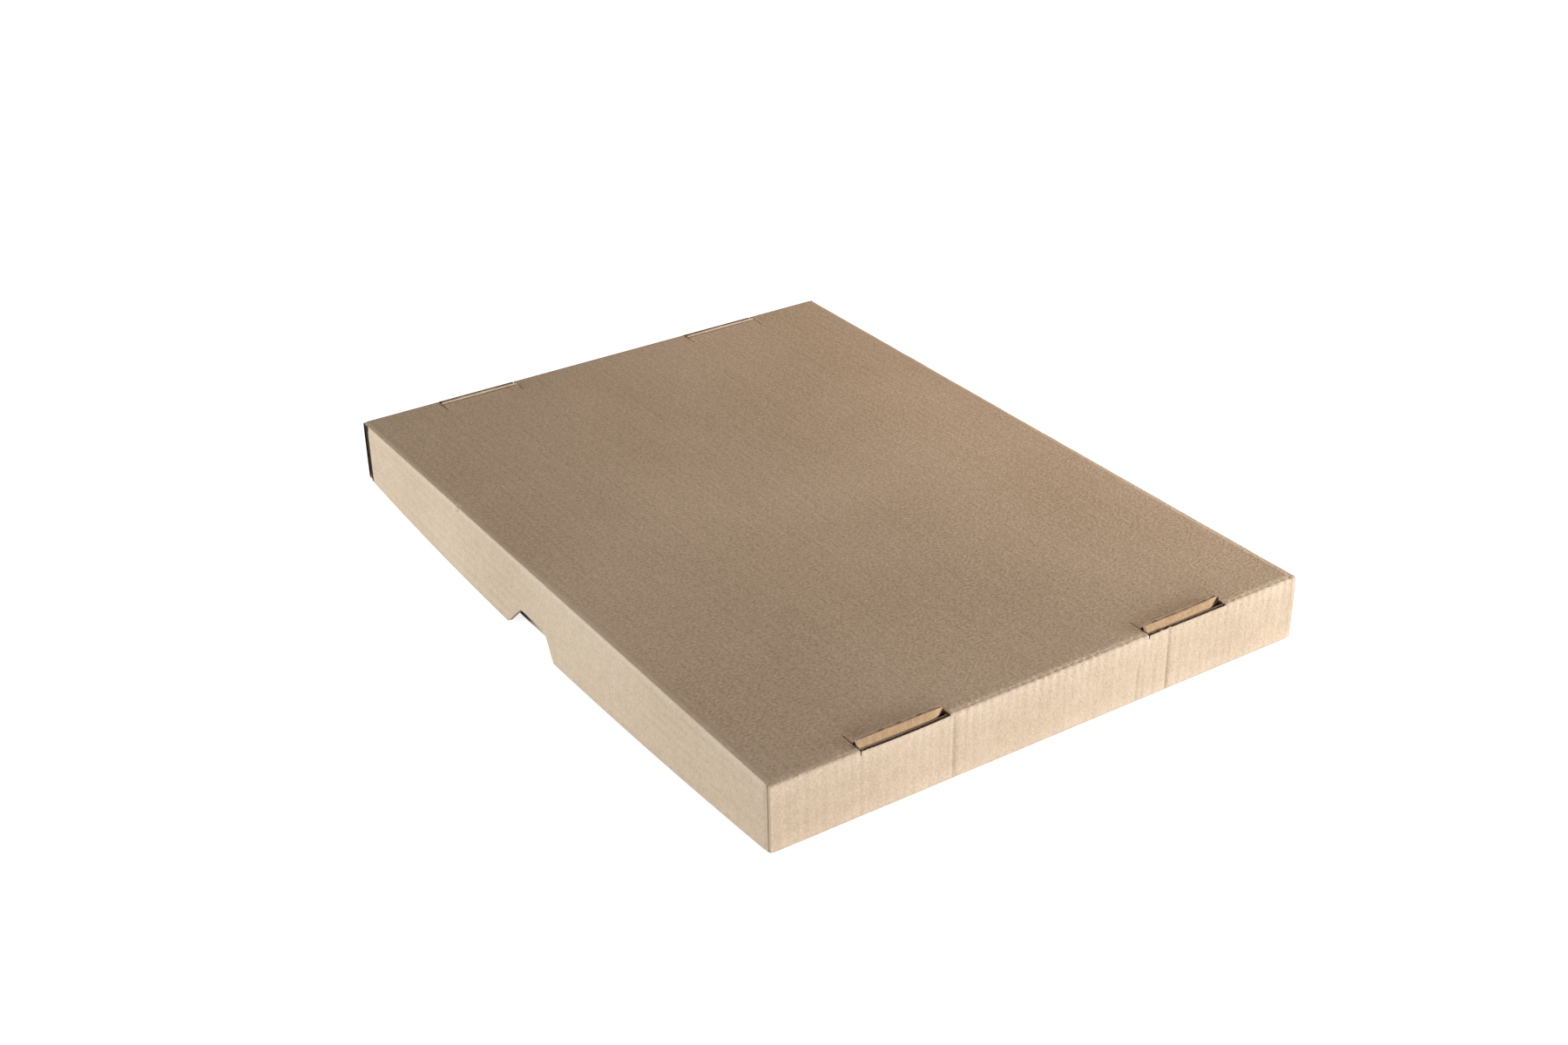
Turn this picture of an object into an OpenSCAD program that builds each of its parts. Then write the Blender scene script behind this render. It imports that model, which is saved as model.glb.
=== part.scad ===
// Flat telescoping box of corrugated board.
// A tray and a full-depth lid, each folded from one die-cut blank. Both have single long walls,
// and end walls that roll over the corner flaps and lock into slots with two tabs.
// Origin: centre of the tray's underside. X runs across the box, Y along it, Z up.

/* [Box] */
// Length of the lid over its rolled end walls
lid_length = 304; // [220:1:420]
// Width of the lid across its top panel
lid_width = 220; // [180:1:320]
// Height of the lid's top face above the surface that the box stands on
box_height = 26; // [18:0.5:60]
// Gap between the lid's lower edge and the surface that the box stands on
lid_floor_gap = 0.5; // [0.2:0.1:3]
// Sliding clearance between the lid and the tray, on each side
slip_gap = 0.6; // [0.3:0.1:2]

/* [Board] */
// Thickness of the corrugated board
board = 1.5; // [1:0.1:2.5]
// Inside radius of every fold
fold_inside = 0.3; // [0.1:0.05:0.5]
// Gap between the layers of a rolled end wall
layer_gap = 0.15; // [0.05:0.05:0.4]
// How far the rolled edges stop short of the long walls' cut edges
rolled_edge_drop = 0.3; // [0.1:0.1:1]
// How far the outer end layers stop short of the long walls' faces
end_inset = 0.3; // [0.1:0.1:1]
// Gap beside the inner end layers, next to the long walls
side_gap = 0.5; // [0.2:0.1:1.5]
// Outward bow of the lid's long walls, at the middle of their free edges
wall_bow = 4; // [0:0.5:8]

/* [Corner flaps] */
// Length of the flaps that the end walls roll over
flap_length = 30; // [15:1:60]

/* [Locks] */
// Length of each slot for a locking tab
slot_length = 35; // [20:1:45]
// Distance between the middles of the two slots at one end
slot_spacing = 118; // [60:1:130]
// Gap between a tab's face and the slot's inner edge
tab_face_gap = 0.2; // [0.1:0.1:1]
// Gap between a tab and each end of its slot
tab_side_gap = 0.5; // [0.2:0.1:2]
// Corner radius of a tab's end
tab_corner = 2.5; // [0.5:0.5:5]
// How far the lid's tabs stand out of its top face
lid_tab_proud = 2; // [0.2:0.1:3]
// How far the tray's tabs stay inside its underside
tray_tab_recess = 0.3; // [0.1:0.1:1]
// Gap between the end wall's cut edge and the panel's face, at a slot
slot_edge_gap = 0.3; // [0.1:0.1:1]
// Length of the relief slits at the ends of each slot
slit_length = 5; // [2:0.5:12]
// Width of the relief slits
slit_width = 0.4; // [0.2:0.1:1]

/* [Thumb notches] */
// Width of a notch at the lid's free edge
notch_mouth = 35; // [25:1:60]
// Width of a notch at its inner end
notch_end = 18; // [8:1:24]
// Depth of a notch, measured from the lid's free edge
notch_depth = 8.5; // [4:0.5:14]

/* [Hidden] */
$fn = 48;
kraft = "#b8976d";
// Room that a cutting shape has beyond what it cuts
cut_over = 1;
// Stretches that a bowed wall is divided into
bow_steps = 32;

fold_outside = fold_inside + board;
// Straight lap by which a fold runs on into the sheets that it joins
fold_lap = fold_inside;
// Three layers of board: the outer wall, a corner flap and the inner wall
rolled = 3 * board + 2 * layer_gap;
slot_depth = rolled + tab_face_gap;
lid_depth = box_height - lid_floor_gap;
// The tray fills the lid, and its long walls carry the lid's top panel
tray_length = lid_length - 2 * (rolled + slip_gap);
tray_width = lid_width - 2 * (board + slip_gap);
tray_height = box_height - board;

// Half of a long wall's straight stretch, between its two corner bends
function wall_half(length) = length / 2 - board - layer_gap - fold_outside;
// Height at which the outside of a rolled edge lies
function rolled_top(height) = height - rolled_edge_drop;
// How far a bowed wall stands out at the distance y from its middle, and 0 past the bowed stretch
function bow_at(y, half, bow) = bow * max(0, 1 - pow(y / half, 2));

// Quarter-round fold of the board about Z, from +X to +Y, centred on Z = 0.
// Its laps run on at both ends, over spans of their own.
module fold(span, first_span, last_span) {
    rotate_extrude(angle = 90)
        translate([fold_inside, -span / 2])
            square([board, span]);
    translate([fold_inside, -fold_lap, -first_span / 2])
        cube([board, fold_lap, first_span]);
    translate([-fold_lap, fold_inside, -last_span / 2])
        cube([fold_lap, board, last_span]);
}

// Copies of a shape at both sides, mirrored along X.
module both_sides() {
    for (side = [0, 1])
        mirror([side, 0, 0])
            children();
}

// Copies of a shape at both ends, mirrored along Y.
module both_ends() {
    for (end = [0, 1])
        mirror([0, end, 0])
            children();
}

// Copies of a shape at both slots of the +Y end.
module at_slots() {
    for (side = [-1, 1])
        translate([side * slot_spacing / 2, 0, 0])
            children();
}

// The flat panel with the folds along its four edges.
module panel_and_folds(length, width) {
    panel_length = length - 2 * fold_outside;
    panel_width = width - 2 * fold_outside;
    long_span = panel_length - 2 * layer_gap;
    end_span = width - 2 * end_inset;
    translate([-panel_width / 2, -panel_length / 2, 0])
        cube([panel_width, panel_length, board]);
    both_sides()
        translate([panel_width / 2, 0, fold_outside])
            rotate([-90, 0, 0])
                fold(long_span, 2 * wall_half(length), long_span);
    both_ends()
        translate([0, panel_length / 2, fold_outside])
            rotate([-90, 0, 90])
                fold(end_span, end_span, panel_width);
}

// One slot of the +Y end and the two relief slits that run on from its ends.
module slot_cut(length) {
    translate([-slot_length / 2, length / 2 - slot_depth, -cut_over])
        cube([slot_length, slot_depth + cut_over, fold_outside + cut_over]);
    for (side = [-1, 1])
        translate([side * (slot_length - slit_width) / 2 - slit_width / 2,
                   length / 2 - slot_depth - slit_length, -cut_over])
            cube([slit_width, slit_length + cut_over, board + 2 * cut_over]);
}

// A long wall at +X that stands out at its free edge. It is straight along its folds and bowed beyond them.
module bowed_wall(half, width, height, bow) {
    outer = width / 2;
    inner = outer - board;
    bowed = half - fold_lap;
    hinge = fold_outside + fold_lap;
    // A ring of six corners at each station, up the outer face and down the inner one
    stations = [-half, for (step = [0 : bow_steps]) bowed * (2 * step / bow_steps - 1), half];
    points = [
        for (y = stations)
            let (out = bow_at(y, bowed, bow))
                each [[outer, y, fold_outside], [outer, y, hinge], [outer + out, y, height],
                      [inner + out, y, height], [inner, y, hinge], [inner, y, fold_outside]]
    ];
    ring = len(points) / len(stations);
    last = len(points) - ring;
    sides = [
        for (here = [0 : ring : last - ring], corner = [0 : ring - 1])
            let (next = (corner + 1) % ring, there = here + ring)
                [here + corner, here + next, there + next, there + corner]
    ];
    near_cap = [[5, 4, 1, 0], [4, 3, 2, 1]];
    far_cap = [for (face = near_cap) [for (corner = [3 : -1 : 0]) last + face[corner]]];
    polyhedron(points, concat(sides, near_cap, far_cap));
}

// A straight long wall at +X.
module straight_wall(half, width, height) {
    translate([width / 2 - board, -half, fold_outside])
        cube([board, 2 * half, height - fold_outside]);
}

// The bend and the flap at the +X +Y corner, which stand between the layers of the end wall.
module corner_flap(length, width, height) {
    low = fold_outside + fold_lap + layer_gap;
    high = rolled_top(height) - board - layer_gap;
    span = high - low;
    translate([width / 2 - fold_outside, wall_half(length), (low + high) / 2]) {
        fold(span, span, span);
        translate([-flap_length, fold_inside, -span / 2])
            cube([flap_length, board, span]);
    }
}

// Outline of the inner end layer with its two locking tabs, in X and Z.
module inner_layer_outline(width, height, tab_end) {
    half = width / 2 - board - side_gap;
    low = board + layer_gap;
    tab_width = slot_length - 2 * tab_side_gap;
    translate([-half, low])
        square([2 * half, rolled_top(height) - fold_outside - low]);
    at_slots() {
        translate([-tab_width / 2, tab_end + tab_corner])
            square([tab_width, low - tab_end + cut_over]);
        translate([tab_corner - tab_width / 2, tab_end])
            square([tab_width - 2 * tab_corner, low - tab_end]);
        for (side = [-1, 1])
            translate([side * (tab_width / 2 - tab_corner), tab_end + tab_corner])
                circle(tab_corner);
    }
}

// The end wall at +Y: an outer layer, the roll over its edge, and an inner layer with tabs.
module rolled_end_wall(length, width, height, tab_end) {
    outer_span = width - 2 * end_inset;
    inner_span = width - 2 * (board + side_gap);
    top = rolled_top(height);
    flat = rolled - 2 * fold_outside;
    translate([-outer_span / 2, length / 2 - board, fold_outside])
        cube([outer_span, board, top - 2 * fold_outside]);
    translate([0, length / 2 - fold_outside, top - fold_outside])
        rotate([90, 0, 90])
            fold(outer_span, outer_span, inner_span);
    translate([-inner_span / 2, length / 2 - fold_outside - flat, top - board])
        cube([inner_span, flat, board]);
    translate([0, length / 2 - fold_outside - flat, top - fold_outside])
        mirror([0, 1, 0])
            rotate([90, 0, 90])
                fold(inner_span, inner_span, inner_span);
    translate([0, length / 2 - rolled + board, 0])
        rotate([90, 0, 0])
            linear_extrude(board)
                inner_layer_outline(width, height, tab_end);
    // At a slot the outer layer stands straight up, because its fold is cut away there
    at_slots()
        translate([slit_width - slot_length / 2, length / 2 - board, slot_edge_gap])
            cube([slot_length - 2 * slit_width, board, fold_outside + fold_lap - slot_edge_gap]);
}

// One folded blank with its panel down. The panel's outer face lies at Z = 0, and the walls rise to height.
module folded_blank(length, width, height, tab_end, bow) {
    difference() {
        panel_and_folds(length, width);
        both_ends()
            at_slots()
                slot_cut(length);
    }
    both_sides() {
        if (bow > 0)
            bowed_wall(wall_half(length), width, height, bow);
        else
            straight_wall(wall_half(length), width, height);
        both_ends()
            corner_flap(length, width, height);
    }
    both_ends()
        rolled_end_wall(length, width, height, tab_end);
}

// Thumb notches in both long walls of the lid, cut through along X.
module thumb_notches() {
    through = lid_width + 2 * (wall_bow + cut_over);
    slope = (notch_mouth - notch_end) / 2 / notch_depth;
    mouth = notch_mouth / 2 + slope * cut_over;
    translate([-through / 2, 0, lid_floor_gap])
        rotate([90, 0, 90])
            linear_extrude(through)
                polygon([[-mouth, -cut_over], [mouth, -cut_over],
                         [notch_end / 2, notch_depth], [-notch_end / 2, notch_depth]]);
}

module tray() {
    color(kraft)
        folded_blank(tray_length, tray_width, tray_height, tray_tab_recess, 0);
}

module lid() {
    color(kraft)
        difference() {
            translate([0, 0, box_height])
                rotate([180, 0, 0])
                    folded_blank(lid_length, lid_width, lid_depth, -lid_tab_proud, wall_bow);
            thumb_notches();
        }
}

tray();
lid();
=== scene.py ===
"""Looks of a flat telescoping box: a lid over a tray, each one folded sheet of corrugated board.

Each half is modelled as its die-cut blank, folded. A grid of corners covers the outer face of the board, a
second one covers its inner face, and strips along every cut edge show the two liners with the fluted sheet
between them. Lengths are in millimetres until a mesh is made. The blank's own coordinates are kept as the UV
map "Blank": U runs across the flutes and V along them.
"""

import math

import bpy
import numpy as np
from mathutils import Matrix, Vector, noise


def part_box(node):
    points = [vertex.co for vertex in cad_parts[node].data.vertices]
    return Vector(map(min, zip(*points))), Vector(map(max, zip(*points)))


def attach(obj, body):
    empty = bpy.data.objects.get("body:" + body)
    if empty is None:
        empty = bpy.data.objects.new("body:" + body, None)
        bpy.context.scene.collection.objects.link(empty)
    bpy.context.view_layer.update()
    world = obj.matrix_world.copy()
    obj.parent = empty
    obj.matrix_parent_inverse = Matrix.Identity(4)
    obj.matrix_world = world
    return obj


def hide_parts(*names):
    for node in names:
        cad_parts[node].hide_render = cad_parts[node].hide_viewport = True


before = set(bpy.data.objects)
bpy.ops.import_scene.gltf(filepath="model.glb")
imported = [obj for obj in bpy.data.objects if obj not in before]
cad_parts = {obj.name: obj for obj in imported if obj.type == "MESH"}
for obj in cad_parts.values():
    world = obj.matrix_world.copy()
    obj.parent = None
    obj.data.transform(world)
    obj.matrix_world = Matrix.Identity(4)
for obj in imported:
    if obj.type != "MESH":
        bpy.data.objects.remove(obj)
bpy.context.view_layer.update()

MM = 0.001
# How near two places are when they count as one
CLOSE = 0.01

# The board and its folds, as in the CAD model
BOARD = 1.5
FOLD_INSIDE = 0.3
FOLD_OUTSIDE = FOLD_INSIDE + BOARD
FOLD_LAP = FOLD_INSIDE
LAYER_GAP = 0.15
ROLLED = 3 * BOARD + 2 * LAYER_GAP
END_INSET = 0.3
SIDE_GAP = 0.5
# How far the rolled edges stop short of the long walls' cut edges
TRAY_EDGE_DROP = 0.3
LID_EDGE_DROP = 0.1
SLIP_GAP = 0.6
FLAP_LENGTH = 30
WALL_BOW = 4

# The distance from flute to flute, and the thickness of a liner
FLUTE = 3.4
LINER = 0.12
# The radius of the outer liner's crease at the end folds and at the long folds
END_FOLD_EDGE = 0.9
LONG_FOLD_EDGE = 0.5
# How much smaller than the board's own radius the crease's is at the corner bends
BEND_FLAT = 1.6
# The board's radius at the loose far bends
LOOSE_BEND = 3.4
# How deep the flutes show on the walls and on the panels, and how deep the teeth along the end folds are
WASHBOARD = 0.016
PANEL_WASHBOARD = 0.009
SERRATION = 0.5
# How sharp the teeth are along the near fold, between two stations across it, and along the other end folds
TOOTH_XS = (-70, -20)
TOOTH_SHARPNESS = (0.35, 1)
OTHER_SHARPNESS = 0.1
# How unevenly the long folds and the corner bends run
FOLD_WOBBLE = 0.3

# The locks
SLOT_LENGTH = 35
SLOT_MIDDLES = (-59, 59)
SLOT_DEPTH = ROLLED + 0.2
SLOT_EDGE_GAP = 0.3
SLIT_LENGTH = 5
SLIT_WIDTH = 0.4
TAB_WIDTH = SLOT_LENGTH - 1
TAB_CORNER = 0.6
LID_TAB_PROUD = 2.0
TRAY_TAB_RECESS = 0.3

# The thumb notches
NOTCH_MOUTH = 35
NOTCH_END = 18
NOTCH_DEPTH = 8.5
NOTCH_REACH = 40

# Marks that folding and handling left on the lid
TONGUE_LIFT = 0.25
# How far the sides of the slits are pressed together
SLIT_SHUT = 0.28
# Stations across a tab, from its left end
TAB_STATIONS = (0, 18, 29, 32.3, 34)
# Each tab by the middle of its slot and its end of the box, with three rows of values at those stations:
# how far its foot and its tip lean out towards the end wall, and how far its torn edge has sunk
TABS = {
    (-59, -1): ((1.6, 1.6, 1.5, 0.5, 0.1), (0.1, 0.0, 0.0, -0.2, -0.3), (0.1, 0.2, 0.2, 0.5, 0.6)),
    (59, -1): ((1.6, 1.6, 1.4, 0.4, 0.0), (0.2, 0.0, -0.3, -0.6, -0.6), (0.1, 0.3, 0.1, 0.1, 0.1)),
    (-59, 1): ((0.2,) * 5, (0.2,) * 5, (1.2, 1.1, 1.2, 1.2, 1.3)),
    (59, 1): ((0.2,) * 5, (0.2,) * 5, (1.3, 1.1, 1.2, 1.2, 1.2)),
}
# How far the shade painted in the deep gap reaches in from the right end of each near slot, at the foot and
# the tip of its tab
TAB_GAP_SHADE = {-59: (3.2, 0.4), 59: (5.3, 0.4)}
# The width over which the edge of that painted shade fades
GAP_SHADE_FADE = 0.6
# How much of the board's thickness is left at the tips of the near and the far tabs
TAB_LEFT = {-1: 0.85, 1: 0.5}
# The shade painted in the torn flutes at the tips of the near tabs, and how dark it is
TIP_SHADE = 0.5
# A torn tuft on the near right tab, and a flake on the wall in front of it
TUFT_X = 59.0
TUFT_RISE = 0.25
FLAKE_X = 47.0
FLAKE_RISE = 0.5
# How far the tuft and the flake reach to either side
SHRED_REACH = 0.9
# How rough the torn edges of the tabs are
TORN_EDGE = 0.07
# How far the near wall's edge has sunk at the left slot
WORN_EDGE = 0.35
# The nick in the fold along the left edge
NICK_Y = 64.0
NICK_DEPTH = 0.9
NICK_REACH = 1.5
# How far the top panel rises and falls, how far apart its waves lie, and where they fade out, across it and
# along it
PANEL_WAVE = 0.3
PANEL_WAVE_SIZE = 70
PANEL_WAVE_XS = (40, 100)
PANEL_WAVE_YS = (105, 145)
# The shade painted on the far fold, which turns away from the light, and in the near corners' bends: how
# dark it is
FAR_FOLD_SHADE = 0.3
NEAR_BEND_SHADE = 0.14
# The depths below the top at which the shade painted below a tab begins, is full, is still full, and ends
BELOW_TAB = (0, 0.8, 2, 4)
# The heights above the top at which the shade painted on the faces of the far tabs is full, and ends
FAR_TAB = (-0.4, 0.5)
# A painted shadow low on the tray's long walls, which shows as the dark sliver in the lid's notch.
# Along a wall it begins, is full, is still full, and ends at these stations. Up the wall it is full, and
# ends, at these heights.
PATCH_SHADE = 0.9
PATCH_YS = (4, 12, 23, 27)
PATCH_ZS = (2.5, 5)
# Creases in the near end wall: place across the wall, depth, width, and the share of the wall's height that
# they rise to
CREASES = (
    (-76.5, 0.05, 1.2, 0.9),
    (-40.3, 0.45, 1.1, 1.0),
    (37.3, 0.30, 1.0, 0.55),
    (39.7, 0.18, 0.8, 0.4),
    (44.5, 0.22, 1.0, 0.6),
    (50.8, 0.50, 1.0, 1.0),
)
# A crease ends above its reach within one part in so many of the wall's height
CREASE_END = 6
# How dark the shade painted at the bottom of a crease is, for each millimetre of its depth
CREASE_SHADE = 0.3

# The liners' grain on the walls, and how much more of it a panel has
WALL_GRAIN = 0.5
MORE_PANEL_GRAIN = 0.8
# How far a panel's grain reaches from the middle of the blank, and over how much of that it fades out
PANEL_GRAIN_X = 108
PANEL_GRAIN_Y = 150
PANEL_GRAIN_FADE = 2

# The dark colour painted as shade in the cracks, gaps and hollows of the board, and how much the board
# shines
PAINTED_SHADE_COLOUR = (0.02, 0.009, 0.004, 1)
SHEEN = 0.15

# How finely the sheets are divided
ACROSS_STEP = FLUTE / 4
ALONG_STEP = 8
WALL_STEP = 5
NOTCH_STEP = 4
TAB_STEP = 0.45
FOLD_STEPS = 3

# The shares of the board's thickness at which a cut edge has rows
EDGE_SHARES = (0, 0.08, 0.12, 0.3, 0.5, 0.7, 0.88, 0.92, 1)
# How deep the hollow between the liners is: cut across the flutes, pressed shut, and along an open flute
ACROSS_HOLLOW = 0.9
SHUT_HOLLOW = 0.12
OPEN_HOLLOW = 2.6
# How dark an edge cut across the flutes is, as painted shade with some of the fluted sheet's own darker
# colour, and how much more shade is painted in an open flute
CUT_SHADE = 0.4
FLUTE_SHADE = 0.4
# The width of the strip beside a corner bend in which the bend's shade fades
CORNER_BLUR = 0.3

# The floor's own glow is weaker by the box, and grows between these distances from its middle, in metres
NEAR_FLOOR = 0.3
FAR_FLOOR = 0.7
NEAR_GLOW = 0.82
# The even light from the surround
SURROUND_LIGHT = 0.045


def spaced(low, high, step):
    """Evenly spaced values from low to high, about step apart."""
    return np.linspace(low, high, max(1, round(abs(high - low) / step)) + 1)


def lines(features, step):
    """Grid lines through all the features, with even steps of about step between them."""
    marks = sorted({round(float(f), 4) for f in features})
    between = [spaced(a, b, step)[:-1] for a, b in zip(marks, marks[1:])]
    return np.concatenate(between + [[marks[-1]]])


def flute_lines(features, step):
    """Grid lines at whole steps, so that they keep time with the flutes, and at all the features."""
    marks = np.unique(np.round(np.array(features, float), 4))
    steps = np.arange(math.ceil(marks[0] / step), math.floor(marks[-1] / step) + 1) * step
    clear = np.abs(steps[:, None] - marks[None, :]).min(axis=1) > 0.25 * step
    return np.sort(np.concatenate([marks, steps[clear]]))


def middles(values):
    """The midpoints between neighbouring values."""
    return (values[1:] + values[:-1]) / 2


def stack(*parts):
    """Coordinates side by side in the last place, each spread to the same shape."""
    return np.stack(np.broadcast_arrays(*parts), axis=-1).astype(float)


def in_slots(x, length):
    """Whether x lies in a stretch of this length about the middle of a slot."""
    return np.any([np.abs(x - middle) < length / 2 for middle in SLOT_MIDDLES], axis=0)


def flat_points(blank):
    """Places on the unfolded blank as points in space."""
    return np.column_stack([blank, np.zeros(len(blank))])


def waves(points, size, seed):
    """Smooth noise from about -1 to 1 over points, with crests about size apart."""
    return np.array([noise.noise(Vector(p)) for p in points / size + seed])


class Half:
    """The sizes of one half of the box, with its panel down and the panel's outer face at z = 0."""

    def __init__(self, length, width, height, edge_drop, tab_end, bow=0, notched=False, loose_end=None):
        self.length, self.width, self.height = length, width, height
        self.tab_end, self.bow, self.notched = tab_end, bow, notched
        self.loose = loose_end is not None
        self.panel_x = width / 2 - FOLD_OUTSIDE
        self.panel_y = length / 2 - FOLD_OUTSIDE
        self.fold_y = self.panel_y - LAYER_GAP
        self.bends = {end: LOOSE_BEND if end == loose_end else FOLD_OUTSIDE for end in (-1, 1)}
        self.wall_ys = {end: length / 2 - BOARD - LAYER_GAP - bend for end, bend in self.bends.items()}
        self.bowed_y = length / 2 - BOARD - LAYER_GAP - FOLD_OUTSIDE - FOLD_LAP
        self.slot_y = length / 2 - SLOT_DEPTH
        self.slit_y = self.slot_y - SLIT_LENGTH
        self.outer_x = width / 2 - END_INSET
        self.inner_x = width / 2 - BOARD - SIDE_GAP
        self.rolled_top = height - edge_drop
        self.flap_low = FOLD_OUTSIDE + FOLD_LAP + LAYER_GAP
        self.flap_high = self.rolled_top - BOARD - LAYER_GAP
        self.inner_low = BOARD + LAYER_GAP
        # Where the roll ends on the blank, along it from its middle
        self.roll_end = self.panel_y + self.rolled_top + FOLD_OUTSIDE


class Section:
    """A folded sheet seen edge on: rows on its two faces, from a start on the outer face."""

    def __init__(self, start, heading, out, run):
        self.heading, self.out = np.array(heading, float), np.array(out, float)
        self.outer, self.inner, self.normals = [], [], []
        self.runs, self.folded, self.parts = [run], [0], []
        self.put(np.array(start, float), np.array(start) - BOARD * self.out, self.out)

    def put(self, outer, inner, normal):
        """Adds a row to the two faces."""
        self.outer.append(outer)
        self.inner.append(inner)
        self.normals.append(normal)

    def go(self, part, outer, inner, normal, folded):
        """Runs on to a new row, through the named part of the blank."""
        self.runs.append(self.runs[-1] + np.linalg.norm(outer - self.outer[-1]))
        self.parts.append(part)
        self.folded.append(folded)
        self.put(outer, inner, normal)

    def straight(self, part, distances):
        """Runs straight on, with rows at these distances from the last one."""
        here = self.outer[-1]
        for distance in distances:
            outer = here + distance * self.heading
            self.go(part, outer, outer - BOARD * self.out, self.out, 0)

    def fold(self, part, edge, radius=FOLD_OUTSIDE):
        """Turns a quarter towards the inner face, with the outer liner creased tighter than the board."""
        self.folded[-1] = 1
        inside = radius - BOARD
        centre = self.outer[-1] - radius * self.out
        flat = (radius - edge) * (self.out + self.heading)
        turns = np.linspace(0, math.pi / 2, FOLD_STEPS + 1)
        # The inner face turns evenly over all the rows, also the last one, which ends the fold
        inner_turns = np.linspace(0, math.pi / 2, FOLD_STEPS + 3)[1:]
        for turn, inner_turn in zip(turns, inner_turns):
            normal = math.cos(turn) * self.out + math.sin(turn) * self.heading
            inner_normal = math.cos(inner_turn) * self.out + math.sin(inner_turn) * self.heading
            self.go(part, centre + flat + edge * normal, centre + inside * inner_normal, normal, 1)
        self.go(part, centre + radius * self.heading, centre + inside * self.heading, self.heading, 1)
        self.heading, self.out = -self.out, self.heading


class Sheet:
    """Corners on the two faces of a folded sheet, and the four-sided cells between them."""

    def __init__(self):
        self.outer, self.inner, self.normals, self.blank, self.folded = [], [], [], [], []
        self.cells = []
        self.count = 0

    def add(self, outer, inner, normals, blank, folded, keep):
        """Adds a grid of corners, row by row, and those of its cells that keep marks."""
        rows, columns = outer.shape[:2]
        index = self.count + np.arange(rows * columns).reshape(rows, columns)
        cells = np.stack([index[:-1, :-1], index[:-1, 1:], index[1:, 1:], index[1:, :-1]], axis=-1)
        self.cells.append(cells[keep])
        self.outer.append(outer.reshape(-1, 3))
        self.inner.append(inner.reshape(-1, 3))
        self.normals.append(np.broadcast_to(normals, outer.shape).reshape(-1, 3))
        self.blank.append(blank.reshape(-1, 2))
        self.folded.append(np.broadcast_to(folded, (rows, columns)).reshape(-1))
        self.count += rows * columns

    def sweep(self, section, columns, in_space, in_blank, keep, shape=lambda points: points):
        """Adds the grid that a section makes as it runs along columns, with its corners moved by shape."""
        outer, inner, normals = (in_space(*np.array(rows).T[:, :, None], columns[None, :])
                                 for rows in (section.outer, section.inner, section.normals))
        normals = normals - in_space(0, 0, columns[None, :])
        runs = np.array(section.runs)[:, None]
        folded = np.array(section.folded, float)[:, None]
        self.add(shape(outer), shape(inner), normals, in_blank(runs, columns[None, :]), folded, keep)

    def welded(self):
        """The sheet's arrays, with corners that coincide made one and unused ones left out."""
        parts = (self.outer, self.inner, self.normals, self.blank, self.folded)
        outer, inner, normals, blank, folded = (np.concatenate(part) for part in parts)
        cells = np.concatenate(self.cells)
        used = np.unique(cells)
        keys = np.round(np.hstack([outer[used], inner[used]]) * 1000).astype(np.int64)
        _, first, same = np.unique(keys, axis=0, return_index=True, return_inverse=True)
        place = np.zeros(len(outer), np.int64)
        place[used] = same.reshape(-1)
        most_folded = np.zeros(len(first))
        np.maximum.at(most_folded, same.reshape(-1), folded[used])
        chosen = used[first]
        return outer[chosen], inner[chosen], normals[chosen], blank[chosen], most_folded, place[cells]


def add_panel(sheet, half, xs, ys):
    """The flat panel with its slots and relief slits."""
    x, y = np.meshgrid(xs, ys, indexing="ij")
    cx, cy = np.meshgrid(middles(xs), np.abs(middles(ys)), indexing="ij")
    slot = in_slots(cx, SLOT_LENGTH) & (cy > half.slot_y)
    slit = in_slots(cx, SLOT_LENGTH) & ~in_slots(cx, SLOT_LENGTH - 2 * SLIT_WIDTH) & (cy > half.slit_y)
    sheet.add(stack(x, y, 0), stack(x, y, BOARD), (0, 0, -1), stack(x, y), 0, ~slot & ~slit)


def add_long_wall(sheet, half, side, ys, zs):
    """One long wall with the fold at its foot. A lid's wall is bowed out, and notched at its free edge."""
    section = Section((half.panel_x, 0), (1, 0), (0, -1), half.panel_x)
    section.fold("fold", LONG_FOLD_EDGE)
    section.straight("wall", zs[1:] - FOLD_OUTSIDE)
    cy = middles(ys)
    walls = len(zs) - 1
    folds = len(section.parts) - walls
    in_wall = (cy > -half.wall_ys[-1]) & (cy < half.wall_ys[1])
    keep = np.array([np.abs(cy) < half.fold_y] * folds + [in_wall] * walls)
    if half.notched:
        keep[folds:] &= (np.abs(cy) > NOTCH_END / 2) | (middles(zs)[:, None] < half.height - NOTCH_DEPTH)

    def shape(points):
        """Widens the notch towards its mouth, and bows the wall."""
        x, y, z = np.moveaxis(points, -1, 0)
        if half.notched:
            mouth = np.clip((z - half.height + NOTCH_DEPTH) / NOTCH_DEPTH, 0, 1)
            fade = np.clip(1 - (np.abs(y) - NOTCH_END / 2) / NOTCH_REACH, 0, 1)
            y = y + np.sign(y) * mouth * fade * (NOTCH_MOUTH - NOTCH_END) / 2
        hinge = FOLD_OUTSIDE + FOLD_LAP
        rise = np.maximum(0, z - hinge) / (half.height - hinge)
        along = np.maximum(0, 1 - (y / half.bowed_y) ** 2)
        return stack(x + side * half.bow * rise * along, y, z)

    def in_space(a, b, y):
        return stack(side * a, y, b)

    def in_blank(run, y):
        return stack(side * run, y)

    sheet.sweep(section, ys, in_space, in_blank, keep, shape)


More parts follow.
